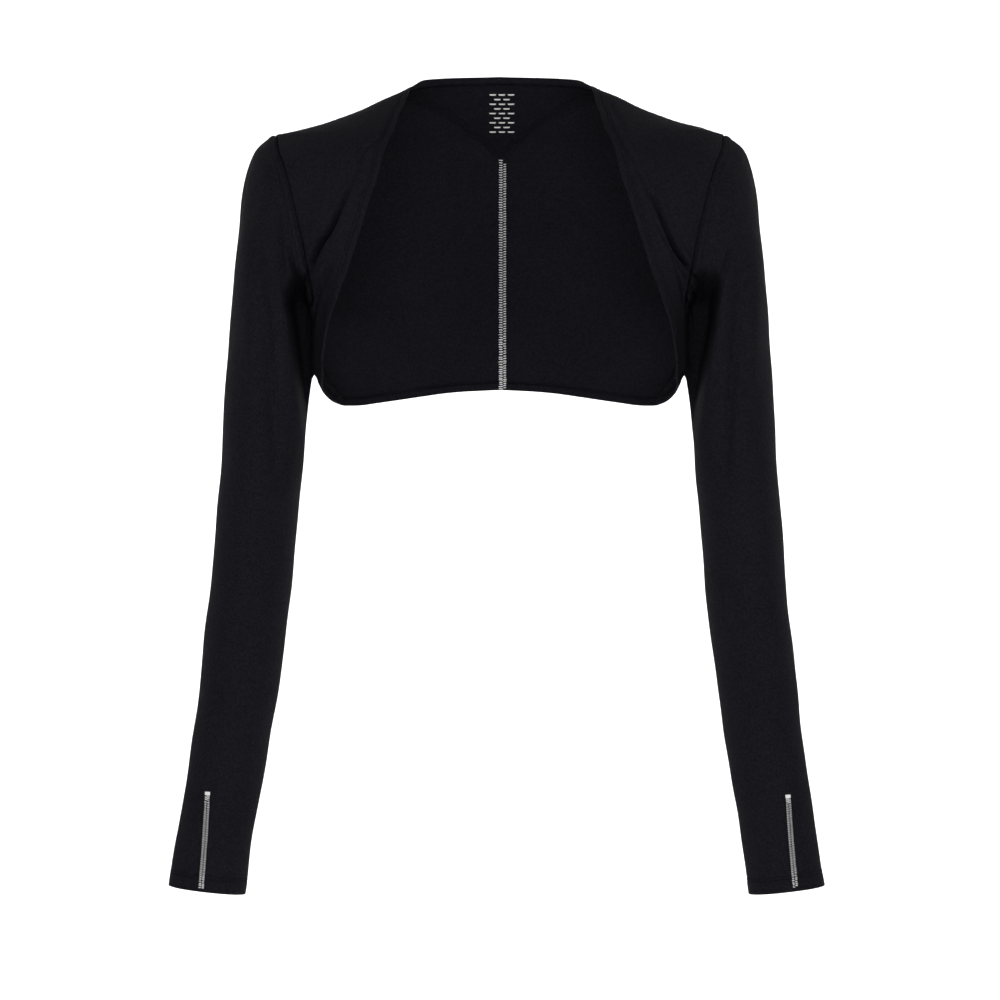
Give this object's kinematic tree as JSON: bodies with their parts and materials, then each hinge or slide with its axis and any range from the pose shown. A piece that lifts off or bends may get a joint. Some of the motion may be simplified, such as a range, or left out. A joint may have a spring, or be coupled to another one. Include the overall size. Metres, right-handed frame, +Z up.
{
  "type": "bolero jacket",
  "caption": "Cropped open-front bolero jacket in black stretch jersey with long set-in sleeves and a V-shaped back neck facing.",
  "frame": {"origin": "midway between the two shoulder points, at their height, where the garment is held", "axes": "+Z up, +Y from the open front to the back, +X to the right as seen from the front"},
  "size_m": [0.547, 0.1877, 0.6888],
  "materials": {
    "body_jersey": "matte fine knit",
    "facing_jersey": "matte fine knit",
    "white_thread": "matte thread",
    "black_thread": "matte thread",
    "white_print": "flat print"
  },
  "bodies": {
    "root": {"back_left": "body_jersey", "back_right": "body_jersey", "front_left": "body_jersey", "front_right": "body_jersey", "sleeve_left": "body_jersey", "sleeve_right": "body_jersey", "back_neck_facing": "facing_jersey"}
  },
  "joints": []
}
